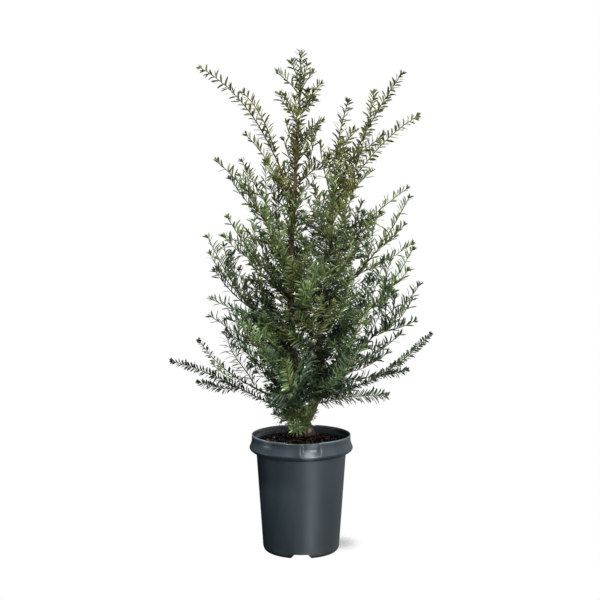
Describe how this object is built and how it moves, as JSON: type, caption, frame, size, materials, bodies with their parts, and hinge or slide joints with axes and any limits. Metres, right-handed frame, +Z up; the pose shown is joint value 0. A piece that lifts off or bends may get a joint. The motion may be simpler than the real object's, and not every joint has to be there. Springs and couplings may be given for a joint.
{
  "type": "potted english yew",
  "caption": "Young English yew with a trunk, a co-leader, boughs and masses of needled shoots, standing in a round plastic nursery pot filled with compost.",
  "frame": {"origin": "on the floor, under the middle of the plant, on the axis of the pot", "axes": "+Z up along the pot's axis, -Y towards the front, +X to the right seen from the front"},
  "size_m": [0.5832, 0.5147, 1.099],
  "materials": {
    "pot_plastic": "satin moulded plastic, dark slate",
    "compost": "damp crumbly compost with bark chips",
    "bark": "thin flaking bark, red brown to grey brown",
    "foliage": "needles, satin dark green above and paler below"
  },
  "bodies": {
    "root": {"pot": "pot_plastic", "soil": "compost", "trunk": "bark", "co_leader": "bark", "bough_left_1": "bark", "bough_left_2": "bark", "bough_left_3": "bark", "bough_left_5": "bark", "bough_left_6": "bark", "bough_left_7": "bark", "bough_left_10": "bark", "bough_right_2": "bark", "bough_right_4": "bark", "bough_right_5": "bark", "bough_right_6": "bark", "bough_front_2": "bark", "bough_front_5": "bark", "bough_back_1": "bark", "bough_back_4": "bark", "foliage_left_1": "foliage", "foliage_left_2": "foliage", "foliage_left_comb": "foliage", "foliage_left_3": "foliage", "foliage_left_4": "foliage", "foliage_left_5": "foliage", "foliage_left_6": "foliage", "foliage_left_7": "foliage", "foliage_left_8": "foliage", "foliage_left_9": "foliage", "foliage_left_10": "foliage", "foliage_left_11": "foliage", "foliage_right_1": "foliage", "foliage_right_2": "foliage", "foliage_right_3": "foliage", "foliage_right_4": "foliage", "foliage_right_5": "foliage", "foliage_right_6": "foliage", "foliage_right_7": "foliage", "foliage_right_8": "foliage", "foliage_right_9": "foliage", "foliage_right_10": "foliage", "foliage_right_top": "foliage", "foliage_inner_right": "foliage", "foliage_front_1": "foliage", "foliage_front_2": "foliage", "foliage_front_3": "foliage", "foliage_front_4": "foliage", "foliage_front_5": "foliage", "foliage_front_6": "foliage", "foliage_front_7": "foliage", "foliage_back_1": "foliage", "foliage_back_2": "foliage", "foliage_back_3": "foliage", "foliage_back_4": "foliage", "foliage_back_5": "foliage", "foliage_back_6": "foliage", "foliage_leader_1": "foliage", "foliage_leader_2": "foliage", "foliage_leader_3": "foliage", "foliage_leader_top": "foliage"}
  },
  "joints": []
}
